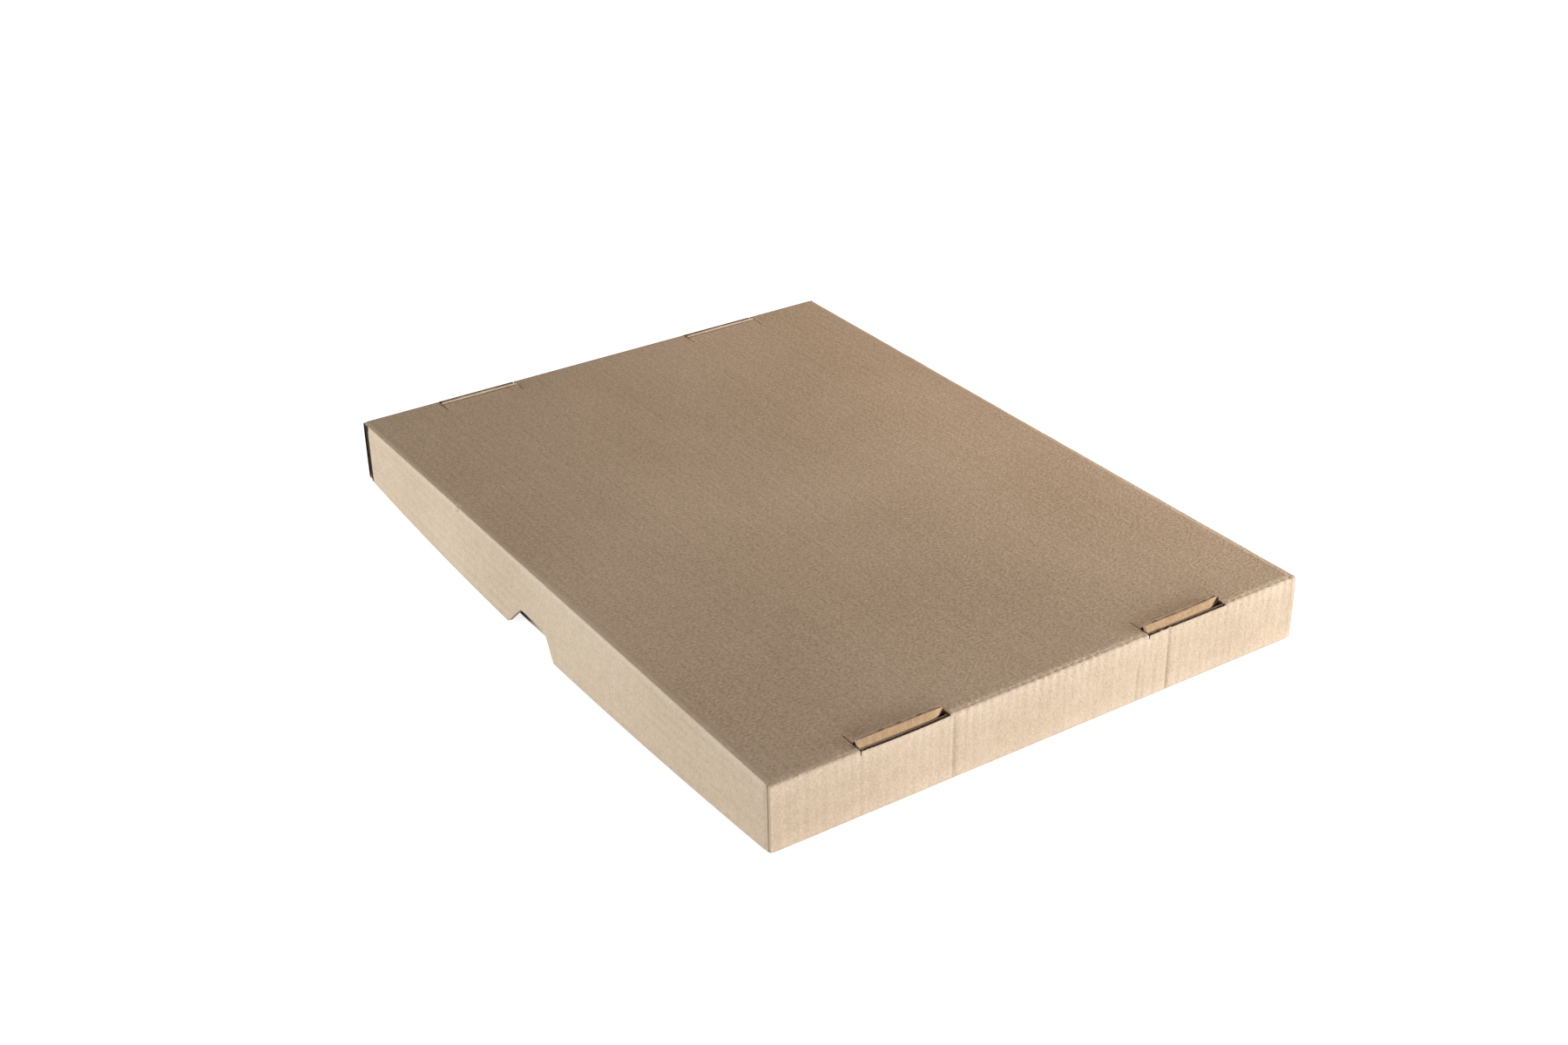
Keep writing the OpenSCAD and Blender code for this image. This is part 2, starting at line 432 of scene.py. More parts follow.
def add_corner_flap(sheet, half, side, end, zs):
    """The bend at one end of a long wall, and the flap that stands inside the rolled end wall."""
    zs = zs[zs > FOLD_OUTSIDE - CLOSE]
    section = Section((half.wall_ys[end], half.width / 2), (1, 0), (0, 1), half.wall_ys[end])
    section.fold("bend", half.bends[end] - BEND_FLAT, half.bends[end])
    section.straight("flap", spaced(0, FLAP_LENGTH, ALONG_STEP)[1:])
    flap = (middles(zs) > half.flap_low) & (middles(zs) < half.flap_high)
    keep = np.array([flap | (part == "bend") for part in section.parts])
    sheet.sweep(section, zs, lambda a, b, z: stack(side * b, end * a, z),
                lambda run, z: stack(side * (half.panel_x + z), end * run), keep)


def add_end_wall(sheet, half, end, xs):
    """One end wall: its fold, outer layer, roll over the corner flaps, inner layer and tabs."""
    section = Section((half.panel_y, 0), (1, 0), (0, -1), half.panel_y)
    section.fold("fold", END_FOLD_EDGE)
    section.straight("outer", spaced(0, half.rolled_top - 2 * FOLD_OUTSIDE, WALL_STEP)[1:])
    section.fold("roll", END_FOLD_EDGE)
    section.straight("flat", [ROLLED - 2 * FOLD_OUTSIDE])
    section.fold("turn", END_FOLD_EDGE)
    section.straight("inner", spaced(0, half.rolled_top - FOLD_OUTSIDE - half.inner_low, ALONG_STEP)[1:])
    section.straight("tab", spaced(0, half.inner_low - half.tab_end, TAB_STEP)[1:])
    cx = middles(xs)
    outside, inside = np.abs(cx) < half.outer_x, np.abs(cx) < half.inner_x
    spans = {
        "fold": outside & ~in_slots(cx, SLOT_LENGTH),
        "outer": outside,
        "roll": outside,
        "flat": inside,
        "turn": inside,
        "inner": inside,
        "tab": in_slots(cx, TAB_WIDTH),
    }
    keep = np.array([spans[part] for part in section.parts])

    def in_space(a, b, x):
        return stack(x, end * a, b)

    def in_blank(run, x):
        return stack(x, end * run)

    def shape(points):
        """Rounds the corners of the tabs."""
        x, y, z = np.moveaxis(points, -1, 0)
        reach = np.max([TAB_WIDTH / 2 - np.abs(x - middle) for middle in SLOT_MIDDLES], axis=0)
        short = np.where(reach > -CLOSE, np.clip(TAB_CORNER - reach, 0, TAB_CORNER), 0)
        pulled = TAB_CORNER - np.sqrt(TAB_CORNER**2 - short**2)
        room = half.inner_low - half.tab_end
        share = np.clip((half.inner_low - z) / room, 0, 1)
        return stack(x, y, z + share * np.minimum(pulled, 0.9 * room))

    sheet.sweep(section, xs, in_space, in_blank, keep, shape)

    foot_run = half.panel_y + FOLD_OUTSIDE + SLOT_EDGE_GAP
    foot = Section((half.length / 2, SLOT_EDGE_GAP), (0, 1), (1, 0), foot_run)
    foot.straight("foot", [FOLD_OUTSIDE - SLOT_EDGE_GAP])
    sheet.sweep(foot, xs, in_space, in_blank, in_slots(cx, SLOT_LENGTH - 2 * SLIT_WIDTH)[None, :])


def folded_blank(half):
    """All the cells of one folded blank."""
    slot_marks = [m + s * (SLOT_LENGTH / 2 - inset) for m in SLOT_MIDDLES for s in (-1, 1)
                  for inset in (0, SLIT_WIDTH)]
    tab_marks = [m + s * (TAB_WIDTH / 2 - inset) for m in SLOT_MIDDLES for s in (-1, 1)
                 for inset in (0, 0.5, TAB_CORNER)]
    crease_marks = [x + share * width for x, _, width, _ in CREASES for share in (-0.5, 0, 0.5)]
    rim_marks = [s * x for s in (-1, 1) for x in (half.panel_x, half.inner_x, half.outer_x)]
    xs = flute_lines(slot_marks + tab_marks + crease_marks + rim_marks, ACROSS_STEP)
    wall_marks = [y - inset for y in half.wall_ys.values() for inset in (0, CORNER_BLUR)]
    slit_middle = half.slit_y + SLIT_LENGTH / 2
    end_marks = (half.panel_y, half.fold_y, *wall_marks, half.slot_y, half.slit_y, slit_middle)
    notch_marks = spaced(NOTCH_END / 2, NOTCH_END / 2 + NOTCH_REACH, NOTCH_STEP)
    nick_marks = [-NICK_Y + offset for offset in (-2, -1, 0, 1, 2)]
    ys = lines([s * y for s in (-1, 1) for y in (*end_marks, *notch_marks)] + nick_marks, ALONG_STEP)
    notch_z = half.height - NOTCH_DEPTH
    zs = lines([FOLD_OUTSIDE, half.flap_low, notch_z, half.flap_high, half.height], ACROSS_STEP)

    sheet = Sheet()
    add_panel(sheet, half, xs[np.abs(xs) < half.panel_x + CLOSE], ys)
    for side in (-1, 1):
        add_long_wall(sheet, half, side, ys, zs)
        for end in (-1, 1):
            add_corner_flap(sheet, half, side, end, zs)
    for end in (-1, 1):
        add_end_wall(sheet, half, end, xs)
    return sheet.welded()


def flute_relief(half, normals, blank, folded):
    """How the flutes show on a face: a washboard between the folds, and teeth along the end folds."""
    phase = 1 - np.cos(2 * math.pi * blank[:, 0] / FLUTE)
    place = flat_points(blank)
    uneven = 1 + 0.9 * waves(place * (1, 0.15, 1), 6, 3.7)
    on_end_fold = folded * (np.abs(blank[:, 0]) < half.panel_x)
    on_long_fold = folded * (np.abs(blank[:, 0]) >= half.panel_x)
    wobble = FOLD_WOBBLE * (0.5 + 0.5 * waves(place * (0.2, 1, 1), 11, 8.1))
    on_panel = (np.abs(blank[:, 1]) < half.panel_y) & (np.abs(blank[:, 0]) < half.panel_x)
    depth = np.where(on_panel, PANEL_WASHBOARD, WASHBOARD) * phase * uneven * (1 - folded)
    on_near_fold = (blank[:, 1] > 0) & (blank[:, 1] < half.panel_y + 2 * FOLD_OUTSIDE)
    near_sharpness = np.interp(blank[:, 0], TOOTH_XS, TOOTH_SHARPNESS)
    sharpness = np.where(on_near_fold, near_sharpness, OTHER_SHARPNESS)
    toothed = SERRATION * sharpness * np.clip(uneven, 0.2, 1.6) / 1.6
    depth += toothed / 2 * phase * on_end_fold + wobble * on_long_fold
    return -normals * depth[:, None]


def on_inner_layer(half, y, normals):
    """Whether a corner is on the inner layer of an end wall or on one of its tabs."""
    upright = np.abs(normals[:, 1]) > 0.9
    return upright & (np.abs(y) < half.slot_y + BOARD) & (np.abs(y) > half.slit_y)


def on_near_wall(half, y, normals):
    """Whether a corner is on the outer layer of the near end wall."""
    return (normals[:, 1] < -0.9) & (y < 0.1 - half.length / 2)


def crease_depth(x, height):
    """How deep the creases in the near end wall are, at a place across it and a share of its height."""
    total = np.zeros(len(x))
    for place, depth, width, reach in CREASES:
        groove = np.maximum(0, 1 - np.abs(x - place) / width)
        total += depth * groove * np.clip((reach - np.clip(height, 0, 1)) * CREASE_END + 1, 0, 1)
    return total


def tab_marks(half, top, outer, inner, normals):
    """Moves the corners of the lid's tabs, and of the inner layers that carry them, as handling has."""
    x, y, z = outer.T
    foot_z = top - half.inner_low
    tip_z = top - half.tab_end
    up = np.clip((z - foot_z) / (tip_z - foot_z), 0, 1)
    above = np.clip((z - top) / (tip_z - top), 0, 1)
    carried = np.clip(z / foot_z, 0, 1) ** 2
    inner_layer = on_inner_layer(half, y, normals)
    torn = TORN_EDGE * (1 + waves(outer * (1, 1, 0), 1.1, 5.3))
    tuft = TUFT_RISE * np.clip(1 - np.abs(x - TUFT_X) / SHRED_REACH, 0, 1)
    left = np.zeros(len(x))
    shift = np.zeros_like(outer)
    for (middle, end), (foot, tip, sunk) in TABS.items():
        beside = np.abs(x - middle) - TAB_WIDTH / 2
        here = inner_layer & (np.sign(y) == end) & (beside < SLOT_LENGTH - TAB_WIDTH)
        from_left = x - middle + TAB_WIDTH / 2
        foot_lean = np.interp(from_left, TAB_STATIONS, foot) * carried
        tip_lean = np.interp(from_left, TAB_STATIONS, tip)
        lean = foot_lean + (tip_lean - foot_lean) * above
        shift[:, 1] += np.where(here, end * lean, 0)
        drop = np.maximum(0, np.interp(from_left, TAB_STATIONS, sunk) + torn - tuft)
        shift[:, 2] -= np.where(here, up * drop, 0)
        left = np.where(here, up * (1 - TAB_LEFT[end]), left)
    thin = left[:, None] * (inner - outer)
    return outer + shift + thin, inner + shift


def lid_marks(half, top, outer, inner, normals):
    """Moves the corners of the lid as folding and handling have. The lid lies with its top at z = top."""
    x, y, z = outer.T
    shift = np.zeros_like(outer)

    # The tongues between the relief slits stand up a little where the tabs push them
    between_slits = in_slots(x, SLOT_LENGTH - 2 * SLIT_WIDTH + CLOSE)
    tongue = between_slits & (np.abs(y) < half.slot_y + CLOSE) & (z > top - 0.5)
    rise = np.clip((np.abs(y) - half.slit_y) / SLIT_LENGTH, 0, 1)
    shift[:, 2] += np.where(tongue, TONGUE_LIFT * rise**1.4, 0)

    # The slits at the right of the near slots are pressed nearly shut, on the panel and in the end wall
    slot_side = np.zeros(len(x))
    for middle in SLOT_MIDDLES:
        slot_side += np.abs(x - middle - SLOT_LENGTH / 2 + SLIT_WIDTH) < CLOSE
    by_slit = (tongue & (y < CLOSE - half.slit_y)) | (y < CLOSE - half.length / 2)
    shift[:, 0] += np.where(by_slit & (z > top - FOLD_OUTSIDE - CLOSE), SLIT_SHUT * slot_side, 0)

    # The near wall's edge has sunk at the left slot, and has a flake at the right one
    near = on_near_wall(half, y, normals)
    on_edge = near & (z > top - FOLD_OUTSIDE + CLOSE) & between_slits
    sunk = WORN_EDGE * np.clip(1 - ((x - SLOT_MIDDLES[0]) / (SLOT_LENGTH / 2)) ** 2, 0, 1)
    flake = FLAKE_RISE * np.clip(1 - np.abs(x - FLAKE_X) / SHRED_REACH, 0, 1)
    shift[:, 2] += np.where(on_edge, flake - sunk, 0)

    # The creases in the near end wall
    shift[:, 1] += np.where(near, crease_depth(x, z / top), 0)

    # The nick in the fold along the left edge
    on_fold = (x < -half.panel_x - 0.3) & (z > top - FOLD_OUTSIDE - CLOSE)
    dent = np.clip(1 - np.abs(y - NICK_Y) / NICK_REACH, 0, 1)
    shift -= np.where(on_fold, NICK_DEPTH * dent, 0)[:, None] * normals

    # The panel is not quite flat
    soft = waves(outer, PANEL_WAVE_SIZE, 2.9)
    over_panel = np.interp(np.abs(x), PANEL_WAVE_XS, (1, 0)) * np.interp(np.abs(y), PANEL_WAVE_YS, (1, 0))
    shift[:, 2] += np.where(z > top - CLOSE, PANEL_WAVE * soft * over_panel, 0)

    outer, inner = tab_marks(half, top, outer, inner, normals)
    return outer + shift, inner + shift


def lid_shade(half, top, outer, normals, blank, folded):
    """How much shade is painted on the lid's outer and inner faces, from 0 to 1.

    Shade is painted in the loose far corners, on the far fold, in the near bends, at the bottoms of the
    creases, and in the gaps about the tabs.
    """
    x, y, z = outer.T
    across, along = np.abs(blank[:, 0]), -blank[:, 1]
    # Shade is painted in the loose far bends and on the far end wall's side edges, where they lie deep in
    # the gap, on the far fold and in the near bends
    in_bend = (folded > 0) & (across > half.panel_x + FOLD_OUTSIDE - CLOSE)
    in_far_bend = in_bend & (along > half.wall_ys[-1] - CLOSE)
    in_near_bend = in_bend & (-along > half.wall_ys[1] - CLOSE)
    past_far_edge = along > half.panel_y + CLOSE
    on_far_fold = (folded > 0) & (across < half.panel_x) & past_far_edge
    on_far_fold &= along < half.panel_y + 2 * FOLD_OUTSIDE
    on_far_side = (across > half.outer_x - CLOSE) & past_far_edge & (along < half.roll_end)
    outside = np.where(in_far_bend | on_far_side, 1.0, np.where(on_far_fold, FAR_FOLD_SHADE, 0.0))
    outside = np.where(in_near_bend, NEAR_BEND_SHADE, outside)
    # Painted shade at the bottoms of the creases
    outside += np.where(on_near_wall(half, y, normals), CREASE_SHADE * crease_depth(x, z / top), 0)

    # Painted shade at the feet of the tabs, down in the slots
    below = np.interp(top - z, BELOW_TAB, (0, 1, 1, 0))
    below_tab = on_inner_layer(half, y, normals) & in_slots(x, SLOT_LENGTH)
    inside = np.where(on_far_side, 1.0, np.where(below_tab, below, 0.0))
    outside = np.where(below_tab & (y > 0), np.interp(z - top, FAR_TAB, (1, 0)), outside)

    # Painted shade runs up along the tabs from the right ends of the near slots, where the tabs sit deep in
    # the gap
    up = np.clip((z - top + SLOT_EDGE_GAP) / (SLOT_EDGE_GAP - half.tab_end), 0, 1)
    for middle, (foot, tip) in TAB_GAP_SHADE.items():
        from_right = middle + SLOT_LENGTH / 2 - x
        gap_shade = np.clip((foot + (tip - foot) * up - from_right) / GAP_SHADE_FADE + 0.5, 0, 1)
        here = below_tab & (y < 0) & (np.abs(from_right - SLOT_LENGTH / 2) < SLOT_LENGTH / 2)
        inside = np.where(here & (z > top - BOARD), np.maximum(inside, gap_shade), inside)
    return outside, inside


def tray_shade(half, outer):
    """How much shade is painted on the tray's two faces: a painted shadow in a patch on each long wall,
    behind the lid's notches.
    """
    x, y, z = outer.T
    patch = np.interp(y, PATCH_YS, (0, 1, 1, 0)) * np.interp(z, PATCH_ZS, (1, 0))
    outside = np.where(np.abs(x) > half.panel_x, PATCH_SHADE * patch, 0)
    return outside, np.zeros(len(x))


def turned_to_face(cells, points, normals):
    """The cells with their corners in the order that makes them face along the normals."""
    a, b, c, d = (points[cells[:, k]] for k in range(4))
    facing = np.einsum("ij,ij->i", np.cross(c - a, d - b), normals[cells].mean(axis=1))
    return np.where(facing[:, None] < 0, cells[:, ::-1], cells)


def cut_edges(cells):
    """The directed edges that only one cell has, and that cell for each of them."""
    edges = np.concatenate([cells[:, [k, (k + 1) % 4]] for k in range(4)])
    owners = np.tile(np.arange(len(cells)), 4)
    _, place, uses = np.unique(np.sort(edges, axis=1), axis=0, return_inverse=True, return_counts=True)
    single = uses[place.reshape(-1)] == 1
    return edges[single], owners[single]


def edge_hollow(half, blank, folded, across, share):
    """How deep a cut edge is, and how much shade is painted on it, at a share of the board's thickness."""
    liner = LINER / BOARD
    inside = (share > liner + CLOSE) and (share < 1 - liner - CLOSE)
    # Cut across, the flutes show as a wave
    wave = 0.5 + 0.28 * np.cos(2 * math.pi * blank[:, 0] / FLUTE)
    open_flute = inside * (1 - np.clip(1.6 - np.abs(share - wave) / 0.11, 0, 1))
    # Cuts along the flutes are pressed shut, but those of a loose end wall lie along an open flute
    past_panel = -blank[:, 1] - half.panel_y
    loose = half.loose & (past_panel > 0) & (-blank[:, 1] < half.roll_end)
    depth = np.where(across, ACROSS_HOLLOW * open_flute, inside * np.where(loose, OPEN_HOLLOW, SHUT_HOLLOW))
    torn = 0.5 + 1.8 * waves(flat_points(blank), 2.3, 4.1)
    # Shade is painted along the open flute of a loose end wall's edges, and in the torn flutes at the tips
    # of the near tabs
    near_tip = half.loose & (blank[:, 1] > half.roll_end)
    shut_shade = np.where(near_tip, inside * TIP_SHADE * np.clip(torn, 0, 1.2), np.where(loose, 1.0, 0.0))
    shade = np.where(across, CUT_SHADE + FLUTE_SHADE * open_flute, shut_shade)
    return np.where(folded > 0, np.minimum(depth, SHUT_HOLLOW), depth), shade


def unit(vectors):
    """The vectors at a length of 1."""
    return vectors / np.maximum(np.linalg.norm(vectors, axis=1, keepdims=True), 1e-9)


def board_mesh(name, half, outer, inner, shades, normals, blank, folded, cells):
    """A closed mesh of the board: the outer face, the inner face, and strips along all the cut edges."""
    cells = turned_to_face(cells, outer, normals)
    count = len(outer)
    edges, owners = cut_edges(cells)
    run = unit(outer[edges[:, 1]] - outer[edges[:, 0]])
    a, b, c, d = (outer[cells[owners, k]] for k in range(4))
    into_sheet = np.cross(unit(np.cross(c - a, d - b)), run)
    blank_run = np.abs(blank[edges[:, 1]] - blank[edges[:, 0]])
    edge_middle = np.abs(blank[edges[:, 1]] + blank[edges[:, 0]]) / 2
    on_long_wall = (edge_middle[:, 0] > half.panel_x) & (edge_middle[:, 1] < half.panel_y)
    on_tab = edge_middle[:, 1] > half.roll_end
    runs_across = (blank_run[:, 0] > blank_run[:, 1]) & ~on_long_wall & ~on_tab
    inward = np.zeros_like(outer)
    across = np.zeros(count, bool)
    for corner in (0, 1):
        np.add.at(inward, edges[:, corner], into_sheet)
        across[edges[runs_across, corner]] = True
    rim = np.unique(edges)
    inward = unit(inward[rim])
    place = np.full(count, -1)
    place[rim] = np.arange(len(rim))

    vertices, source = [outer, inner], [np.arange(count), np.arange(count)]
    shades = list(shades)
    rows = [rim]
    for share in EDGE_SHARES[1:-1]:
        depth, shade = edge_hollow(half, blank[rim], folded[rim], across[rim], share)
        rows.append(sum(len(part) for part in vertices) + np.arange(len(rim)))
        vertices.append((1 - share) * outer[rim] + share * inner[rim] + depth[:, None] * inward)
        source.append(rim)
        shades.append(shade)
    rows.append(count + rim)
    source = np.concatenate(source)

    first, second = place[edges[:, 0]], place[edges[:, 1]]
    strips = [np.stack([low[second], low[first], high[first], high[second]], axis=1)
              for low, high in zip(rows, rows[1:])]
    faces = np.concatenate([cells, cells[:, ::-1] + count, *strips])
    materials = np.repeat([0, 1, 2], [len(cells), len(cells), len(edges) * len(strips)])

    mesh = bpy.data.meshes.new(name)
    mesh.from_pydata((np.concatenate(vertices) * MM).tolist(), [], faces.tolist())
    mesh.polygons.foreach_set("material_index", materials.astype(np.int32))
    mesh.polygons.foreach_set("use_smooth", np.ones(len(faces), bool))
    corners = np.zeros(len(mesh.loops), np.int32)
    mesh.loops.foreach_get("vertex_index", corners)
    blank_map = mesh.uv_layers.new(name="Blank")
    blank_map.data.foreach_set("uv", (blank[source][corners] * MM).astype(np.float32).ravel())
    for label, values in (("folded", folded[source]), ("shade", np.concatenate(shades))):
        mesh.attributes.new(label, "FLOAT", "POINT").data.foreach_set("value", values.astype(np.float32))
    mesh.set_sharp_from_angle(angle=math.radians(50))
    mesh.update()
    return mesh


class Paint:
    """The nodes of one material."""

    def __init__(self, name):
        self.material = bpy.data.materials.new(name)
        self.material.use_nodes = True
        self.tree = self.material.node_tree
        self.shader = self.tree.nodes["Principled BSDF"]

    def feed(self, socket, value):
        """Gives a socket another node's output, or a plain value."""
        if isinstance(value, bpy.types.NodeSocket):
            self.tree.links.new(value, socket)
        else:
            socket.default_value = value

    def node(self, kind, settings=None, **inputs):
        """A new node with these settings and inputs."""
        made = self.tree.nodes.new("ShaderNode" + kind)
        for name, value in (settings or {}).items():
            setattr(made, name, value)
        for name, value in inputs.items():
            self.feed(made.inputs[name.replace("_", " ")], value)
        return made

    def maths(self, operation, *values):
        """The result of one calculation."""
        made = self.node("Math", {"operation": operation})
        for socket, value in zip(made.inputs, values):
            self.feed(socket, value)
        return made.outputs[0]

    def total(self, *values):
        """The sum of several values."""
        result = values[0]
        for value in values[1:]:
            result = self.maths("ADD", result, value)
        return result

    def weighed(self, value, weight):
        """A value times a weight."""
        return self.maths("MULTIPLY", value, weight)

    def between(self, value, low, high):
        """0 where a value is at or below low, rising to 1 at high."""
        return self.node("MapRange", Value=value, From_Min=low, From_Max=high).outputs[0]

    def mix(self, share, first, second):
        """A colour between two others."""
        made = self.node("Mix", {"data_type": "RGBA"})
        # The colour sockets come after those for numbers and vectors
        for index, value in ((0, share), (6, first), (7, second)):
            self.feed(made.inputs[index], value)
        return made.outputs[2]

    def blank(self):
        """The place on the unfolded blank."""
        return self.node("UVMap", {"uv_map": "Blank"}).outputs["UV"]

    def grain(self, across, along, detail=2.0, roughness=0.5, shift=0.0):
        """Noise about 0 on the blank, in spots of this size across and along the flutes."""
        scaled = self.node("Mapping", Vector=self.blank(), Location=(shift, shift / 2, 0),
                           Scale=(1 / (across * MM), 1 / (along * MM), 1)).outputs[0]
        spots = self.node("TexNoise", {"noise_dimensions": "2D"}, Vector=scaled, Scale=1.0, Detail=detail,
                          Roughness=roughness)
        return self.maths("SUBTRACT", spots.outputs[0], 0.5)


def liner(name, dark, light, shift):
    """Kraft liner: cloudy fibre, flecks and shives, flute lines that show through, folds rubbed paler, and
    painted shade.
    """
    paint = Paint(name)
    clouds = paint.grain(5, 4, 4, 0.6, shift)
    broad = paint.grain(70, 90, 2, 0.5, shift + 3)
    fibres = paint.grain(1.6, 0.35, 3, 0.6, shift + 7)
    fine = paint.grain(0.5, 0.4, 2, 0.6, shift + 13)
    speckle = paint.grain(1.2, 1.0, 2, 0.6, shift + 51)
    shives = paint.between(paint.grain(0.9, 0.6, 1, 0.5, shift + 19), 0.24, 0.3)
    pale = paint.between(paint.grain(1.4, 0.5, 1, 0.5, shift + 29), 0.23, 0.32)
    across, along, _ = paint.node("SeparateXYZ", Vector=paint.blank()).outputs
    # The panels show more grain than the walls
    on_panel = paint.maths("MULTIPLY", *(
        paint.between(paint.maths("ABSOLUTE", place), rim * MM, (rim - PANEL_GRAIN_FADE) * MM)
        for place, rim in ((across, PANEL_GRAIN_X), (along, PANEL_GRAIN_Y))))
    strength = paint.maths("MULTIPLY_ADD", on_panel, MORE_PANEL_GRAIN, WALL_GRAIN)
    rough_grain = paint.maths("MULTIPLY", speckle, strength)
    flutes = paint.maths("COSINE", paint.weighed(across, 2 * math.pi / (FLUTE * MM)))
    uneven = paint.maths("ADD", paint.grain(9, 60, 2, 0.5, shift + 37), 0.5)
    streaks = paint.grain(2.4, 80, 3, 0.6, shift + 43)
    folded = paint.node("Attribute", {"attribute_name": "folded"}).outputs["Fac"]
    rubbed = paint.maths("MULTIPLY", folded, paint.maths("ADD", fibres, 0.6))
    tone = paint.total(
        paint.weighed(clouds, 0.36), paint.weighed(broad, 0.4), paint.weighed(fibres, 0.18),
        paint.weighed(fine, 0.4), paint.weighed(shives, -0.25), paint.weighed(pale, 0.16),
        paint.weighed(paint.maths("MULTIPLY", flutes, uneven), 0.06), paint.weighed(rubbed, 0.22),
        paint.weighed(streaks, 0.2), rough_grain, 0.5)
    # Painted shade: the colour turns towards the dark shade colour where the shade attribute is high
    shade = paint.node("Attribute", {"attribute_name": "shade"}).outputs["Fac"]
    colour = paint.mix(tone, (*dark, 1), (*light, 1))
    paint.feed(paint.shader.inputs["Base Color"], paint.mix(shade, colour, PAINTED_SHADE_COLOUR))
    rough = paint.total(paint.weighed(clouds, 0.2), paint.weighed(fibres, 0.25), 0.82)
    paint.feed(paint.shader.inputs["Roughness"], rough)
    height = paint.total(paint.weighed(fibres, 0.25), paint.weighed(fine, 0.1), paint.weighed(clouds, 0.6),
                         paint.weighed(speckle, 1.2))
    bump = paint.node("Bump", Height=height, Strength=0.9, Distance=0.22 * MM)
    paint.feed(paint.shader.inputs["Normal"], bump.outputs[0])
    paint.shader.inputs["Specular IOR Level"].default_value = SHEEN
    return paint.material


def raw_edge(name, pale):
    """A cut edge: pale where it is pressed shut, and painted dark with shade where the fluted sheet lies
    open.
    """
    paint = Paint(name)
    shade = paint.node("Attribute", {"attribute_name": "shade"}).outputs["Fac"]
    fuzz = paint.grain(0.4, 0.4, 3, 0.6, 5)
    # Painted shade, broken up by the fuzz
    fuzzy_shade = paint.between(paint.maths("ADD", shade, paint.weighed(fuzz, 0.3)), 0, 1)
    paint.feed(paint.shader.inputs["Base Color"], paint.mix(fuzzy_shade, (*pale, 1), PAINTED_SHADE_COLOUR))
    paint.feed(paint.shader.inputs["Roughness"], paint.total(paint.weighed(fuzz, 0.3), 0.9))
    bump = paint.node("Bump", Height=fuzz, Strength=0.6, Distance=0.1 * MM)
    paint.feed(paint.shader.inputs["Normal"], bump.outputs[0])
    paint.shader.inputs["Specular IOR Level"].default_value = SHEEN
    return paint.material


def add_half(name, half, lid_top, materials):
    """One half of the box, as a piece that replaces its CAD node.

    A lid is turned over, with its top face at lid_top. For a tray, lid_top is None.
    """
    outer, inner, normals, blank, folded, cells = folded_blank(half)
    relief = flute_relief(half, normals, blank, folded)
    if lid_top is not None:
        turn, lift = (1, -1, -1), (0, 0, lid_top)
        outer, inner = outer * turn + lift, inner * turn + lift
        normals, relief = normals * turn, relief * turn
        shades = lid_shade(half, lid_top, outer, normals, blank, folded)
        outer, inner = lid_marks(half, lid_top, outer, inner, normals)
    else:
        shades = tray_shade(half, outer)
    label = name + "_board"
    mesh = board_mesh(label, half, outer + relief, inner + relief, shades, normals, blank, folded, cells)
    for material in materials:
        mesh.materials.append(material)
    piece = bpy.data.objects.new(label, mesh)
    bpy.context.scene.collection.objects.link(piece)
    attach(piece, name)
    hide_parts(name)


def direction(azimuth, elevation):
    """The way out from the middle of the box. Azimuth 0 is in front of it, and 90 at its right."""
    turn, tilt = math.radians(azimuth), math.radians(elevation)
    return Vector((math.sin(turn) * math.cos(tilt), -math.cos(turn) * math.cos(tilt), math.sin(tilt)))


def add_camera():
    """A camera at the photograph's viewing angle."""
    azimuth, elevation = -32.85, 28.88
    roll = math.radians(-0.99)
    distance, aside, above = 0.8066, 0.00439, -0.01173
    back = direction(azimuth, elevation)
    level = direction(azimuth + 90, 0)
    upright = back.cross(level)
    right = math.cos(roll) * level + math.sin(roll) * upright
    up = math.cos(roll) * upright - math.sin(roll) * level
    data = bpy.data.cameras.new("camera")
    data.lens = 48.22
    data.sensor_width = 36
    data.clip_start, data.clip_end = 0.01, 50
    camera = bpy.data.objects.new("camera", data)
    axes = Matrix((right, up, back)).transposed()
    camera.matrix_world = Matrix.Translation(back * distance - right * aside - up * above) @ axes.to_4x4()
    bpy.context.scene.collection.objects.link(camera)
    bpy.context.scene.camera = camera


def add_lamp(name, azimuth, elevation, distance, width, height, power, colour):
    """A soft lamp that points at the middle of the box."""
    place = distance * direction(azimuth, elevation)
    data = bpy.data.lights.new(name, "AREA")
    data.shape = "RECTANGLE"
    data.size, data.size_y = width, height
    data.energy = power
    data.color = colour
    lamp = bpy.data.objects.new(name, data)
    lamp.location = place
    lamp.rotation_mode = "QUATERNION"
    lamp.rotation_quaternion = place.to_track_quat("Z", "Y")
    bpy.context.scene.collection.objects.link(lamp)


def seen_rays(tree):
    """1 for rays that the camera sees, also by mirror or glass, and 0 for light that falls on the box."""
    path = tree.nodes.new("ShaderNodeLightPath")
    result = path.outputs["Is Camera Ray"]
    for name in ("Is Glossy Ray", "Is Transmission Ray"):
        more = tree.nodes.new("ShaderNodeMath")
        more.operation = "MAXIMUM"
        tree.links.new(result, more.inputs[0])
        tree.links.new(path.outputs[name], more.inputs[1])
        result = more.outputs[0]
    return result


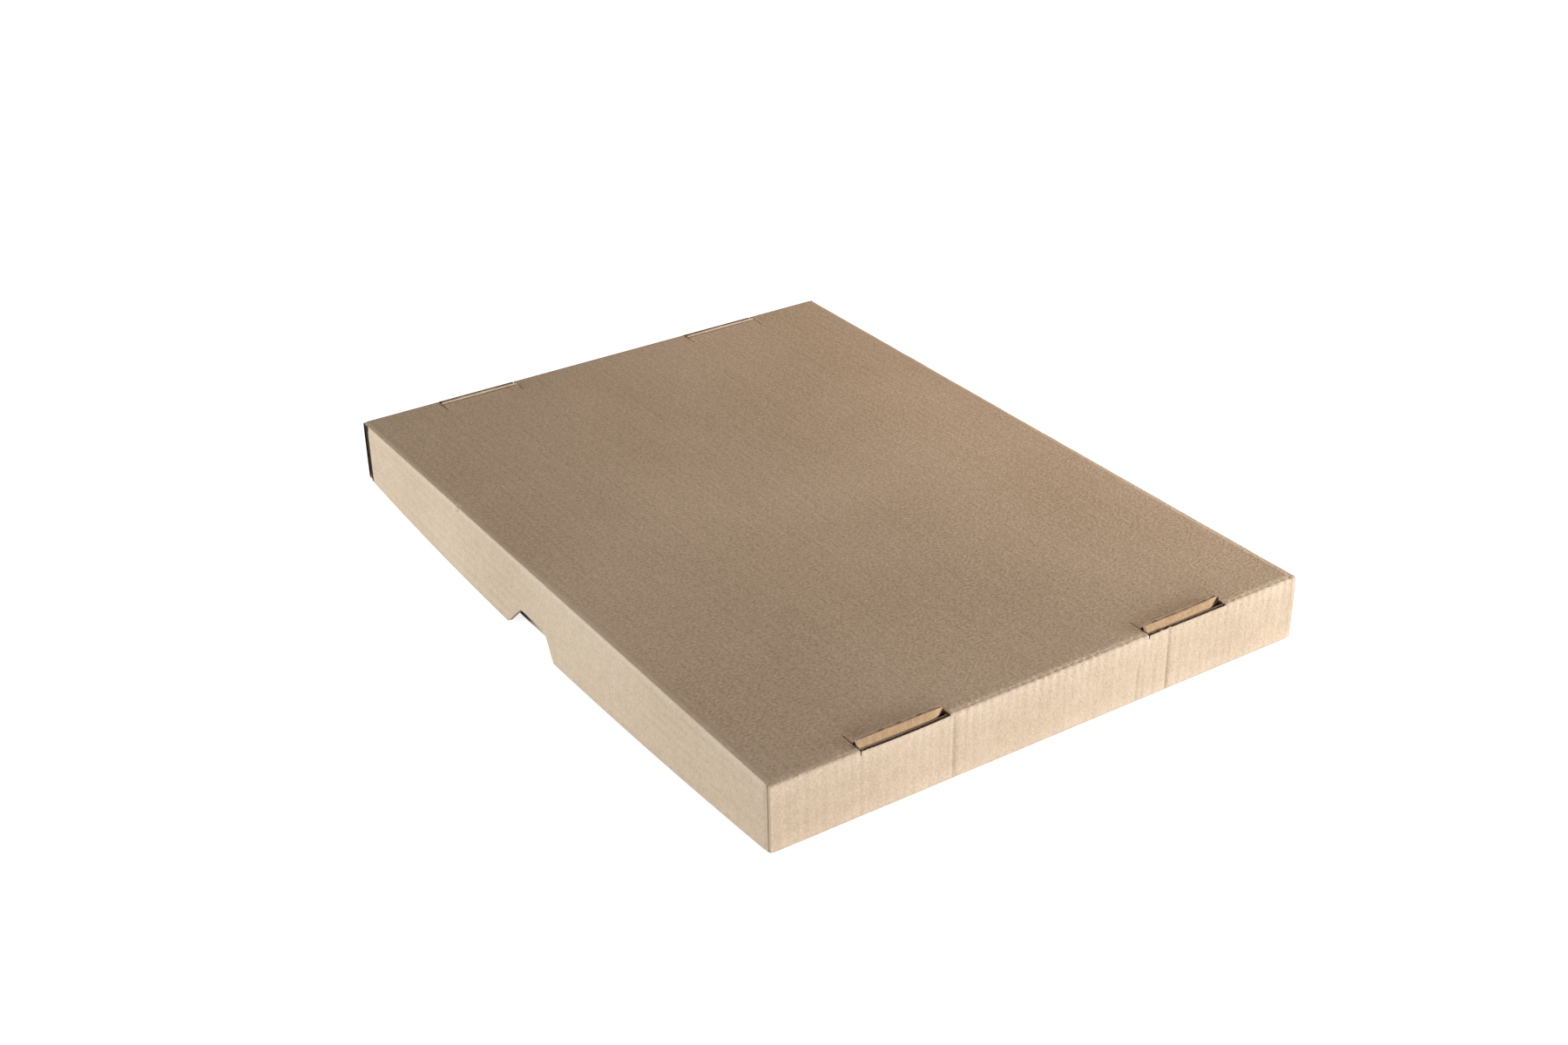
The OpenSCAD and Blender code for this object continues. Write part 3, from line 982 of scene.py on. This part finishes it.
def add_floor():
    """A pale floor that looks white where it is lit, and keeps the shadow of the box."""
    reach = 8
    mesh = bpy.data.meshes.new("floor")
    mesh.from_pydata([(-reach, -reach, 0), (reach, -reach, 0), (reach, reach, 0), (-reach, reach, 0)], [],
                     [(0, 1, 2, 3)])
    floor = bpy.data.objects.new("floor", mesh)
    bpy.context.scene.collection.objects.link(floor)
    paint = Paint("floor")
    paint.shader.inputs["Base Color"].default_value = (0.86, 0.86, 0.86, 1)
    paint.shader.inputs["Roughness"].default_value = 1
    paint.shader.inputs["Specular IOR Level"].default_value = 0
    place = paint.node("NewGeometry").outputs["Position"]
    away = paint.node("VectorMath", {"operation": "LENGTH"}, Vector=place).outputs["Value"]
    level = paint.node("MapRange", Value=away, From_Min=NEAR_FLOOR, From_Max=FAR_FLOOR,
                       To_Min=NEAR_GLOW, To_Max=1).outputs[0]
    glow = paint.node("Emission", Strength=paint.maths("MULTIPLY", seen_rays(paint.tree), level))
    both = paint.tree.nodes.new("ShaderNodeAddShader")
    paint.feed(both.inputs[0], paint.shader.outputs[0])
    paint.feed(both.inputs[1], glow.outputs[0])
    paint.feed(paint.tree.nodes["Material Output"].inputs["Surface"], both.outputs[0])
    mesh.materials.append(paint.material)


def add_world():
    """A white surround to look at, and a faint even light from it."""
    world = bpy.data.worlds.new("world")
    world.use_nodes = True
    tree = world.node_tree
    sky = tree.nodes["Background"]
    sky.inputs["Color"].default_value = (1, 1, 1, 1)
    strength = tree.nodes.new("ShaderNodeMapRange")
    strength.inputs["To Min"].default_value = SURROUND_LIGHT
    strength.inputs["To Max"].default_value = 1
    tree.links.new(seen_rays(tree), strength.inputs["Value"])
    tree.links.new(strength.outputs[0], sky.inputs["Strength"])
    bpy.context.scene.world = world


def millimetres(node):
    """A node's lowest and highest corners, in millimetres."""
    return [np.array(corner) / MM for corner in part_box(node)]


add_camera()

tray_low, tray_high = millimetres("tray")
lid_low, lid_high = millimetres("lid")
tray_width, tray_length, _ = tray_high - tray_low
tray_height = tray_high[2]
lid_top = lid_high[2] - LID_TAB_PROUD
lid_height = lid_top - lid_low[2]
lid_length = lid_high[1] - lid_low[1]
# The lid's own box is wider than its panel, because its long walls are bowed
lid_width = tray_width + 2 * (BOARD + SLIP_GAP)
tray_half = Half(tray_length, tray_width, tray_height, TRAY_EDGE_DROP, TRAY_TAB_RECESS)
lid_half = Half(lid_length, lid_width, lid_height, LID_EDGE_DROP, -LID_TAB_PROUD,
                bow=WALL_BOW, notched=True, loose_end=-1)

board = (
    liner("outer_liner", (0.425, 0.28, 0.167), (0.785, 0.57, 0.392), 0),
    liner("inner_liner", (0.38, 0.205, 0.095), (0.71, 0.44, 0.235), 50),
    raw_edge("raw_edge", (0.55, 0.385, 0.25)),
)
add_half("tray", tray_half, None, board)
add_half("lid", lid_half, lid_top, board)

add_floor()
add_world()
# Each lamp by its azimuth, elevation, distance, width, height, power and colour
add_lamp("front", -8, 7, 1.6, 1.2, 0.3, 15.8, (0.81, 0.9, 1))
add_lamp("right_front", 48, 8, 0.85, 0.5, 0.22, 6.9, (0.72, 0.86, 1))
add_lamp("left", -110, 8, 1.2, 0.8, 0.3, 15.3, (0.73, 0.87, 1))
add_lamp("right", 90, 40, 0.62, 0.5, 0.3, 1.93, (1, 0.893, 0.786))
bpy.context.scene.view_settings.view_transform = "Standard"
